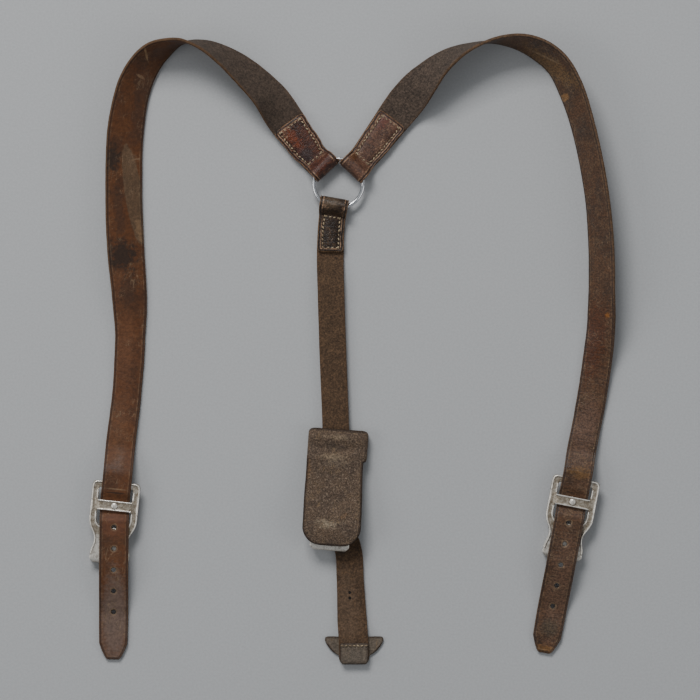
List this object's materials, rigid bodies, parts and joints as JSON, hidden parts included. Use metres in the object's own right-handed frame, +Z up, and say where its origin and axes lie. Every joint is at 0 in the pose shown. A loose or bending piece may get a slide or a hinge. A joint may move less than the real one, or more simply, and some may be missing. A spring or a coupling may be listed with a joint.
{
  "type": "suspenders",
  "caption": "Leather Y-strap belt suspenders on a steel ring, with metal belt hooks, a sliding chafe pad over the rear hook and a toggle tab on the rear tail.",
  "frame": {"origin": "middle of the footprint on the surface that the straps lie on", "axes": "+X to the wearer's left front strap seen from above as laid, +Y from the hooks to the shoulder bends, +Z up from the surface"},
  "size_m": [0.42, 0.5028, 0.0311],
  "materials": {
    "left_leather": "waxed, worn red-brown grain",
    "right_leather": "waxed, worn dark brown grain",
    "back_leather": "dark brown flesh side",
    "pad_leather": "crackled grey-brown",
    "thread": "waxed linen thread",
    "ring_steel": "bright wire",
    "hook_metal": "aged nickel with bright rims"
  },
  "bodies": {
    "ring": {"ring": "ring_steel"},
    "left_strap": {"left_strap": "left_leather", "left_patch_seam": "thread", "left_neck_seam": "thread"},
    "right_strap": {"right_strap": "right_leather", "right_patch_seam": "thread", "right_neck_seam": "thread"},
    "back_strap": {"back_strap": "back_leather", "back_patch_seam": "thread", "back_neck_seam": "thread", "end_tab": "pad_leather", "end_tab_seam": "thread"},
    "left_hook": {"left_hook": "hook_metal", "left_stud": "hook_metal"},
    "right_hook": {"right_hook": "hook_metal", "right_stud": "hook_metal"},
    "rear_hook": {"rear_hook": "hook_metal", "rear_stud": "hook_metal"},
    "pad_loop": {"pad_loop": "pad_leather", "pad_seam": "thread"},
    "pad_flap": {"pad_flap": "pad_leather"}
  },
  "joints": [
    {"name": "left_strap_swing", "type": "hinge", "parent": "ring", "child": "left_strap", "pos_m": [-0.02305, 0.14621, 0.00606], "axis": [0.7314, 0.682, 0], "range_deg": [-60, 60]},
    {"name": "right_strap_swing", "type": "hinge", "parent": "ring", "child": "right_strap", "pos_m": [0.0014, 0.1461, 0.00606], "axis": [0.7254, -0.6884, 0], "range_deg": [-60, 60]},
    {"name": "back_strap_swing", "type": "hinge", "parent": "ring", "child": "back_strap", "pos_m": [-0.01398, 0.11559, 0.00606], "axis": [-0.9848, 0.1736, 0], "range_deg": [-60, 60]},
    {"name": "left_hook_turn", "type": "hinge", "parent": "left_strap", "child": "left_hook", "pos_m": [-0.18968, -0.12444, 0.0082], "axis": [0, 0, 1], "range_deg": [-3, 3]},
    {"name": "right_hook_turn", "type": "hinge", "parent": "right_strap", "child": "right_hook", "pos_m": [0.17581, -0.12124, 0.0082], "axis": [0, 0, 1], "range_deg": [-3, 3]},
    {"name": "rear_hook_turn", "type": "hinge", "parent": "back_strap", "child": "rear_hook", "pos_m": [-0.01448, -0.11364, 0.0056], "axis": [0, 0, 1], "range_deg": [-3, 3]},
    {"name": "pad_slide", "type": "slide", "parent": "back_strap", "child": "pad_loop", "axis": [-0.042, 0.9991, 0], "range_m": [0, 0.07]},
    {"name": "pad_lift", "type": "hinge", "parent": "pad_loop", "child": "pad_flap", "pos_m": [-0.0123, -0.08849, 0.0092], "axis": [-0.9976, 0.0698, 0], "range_deg": [0, 120]}
  ]
}
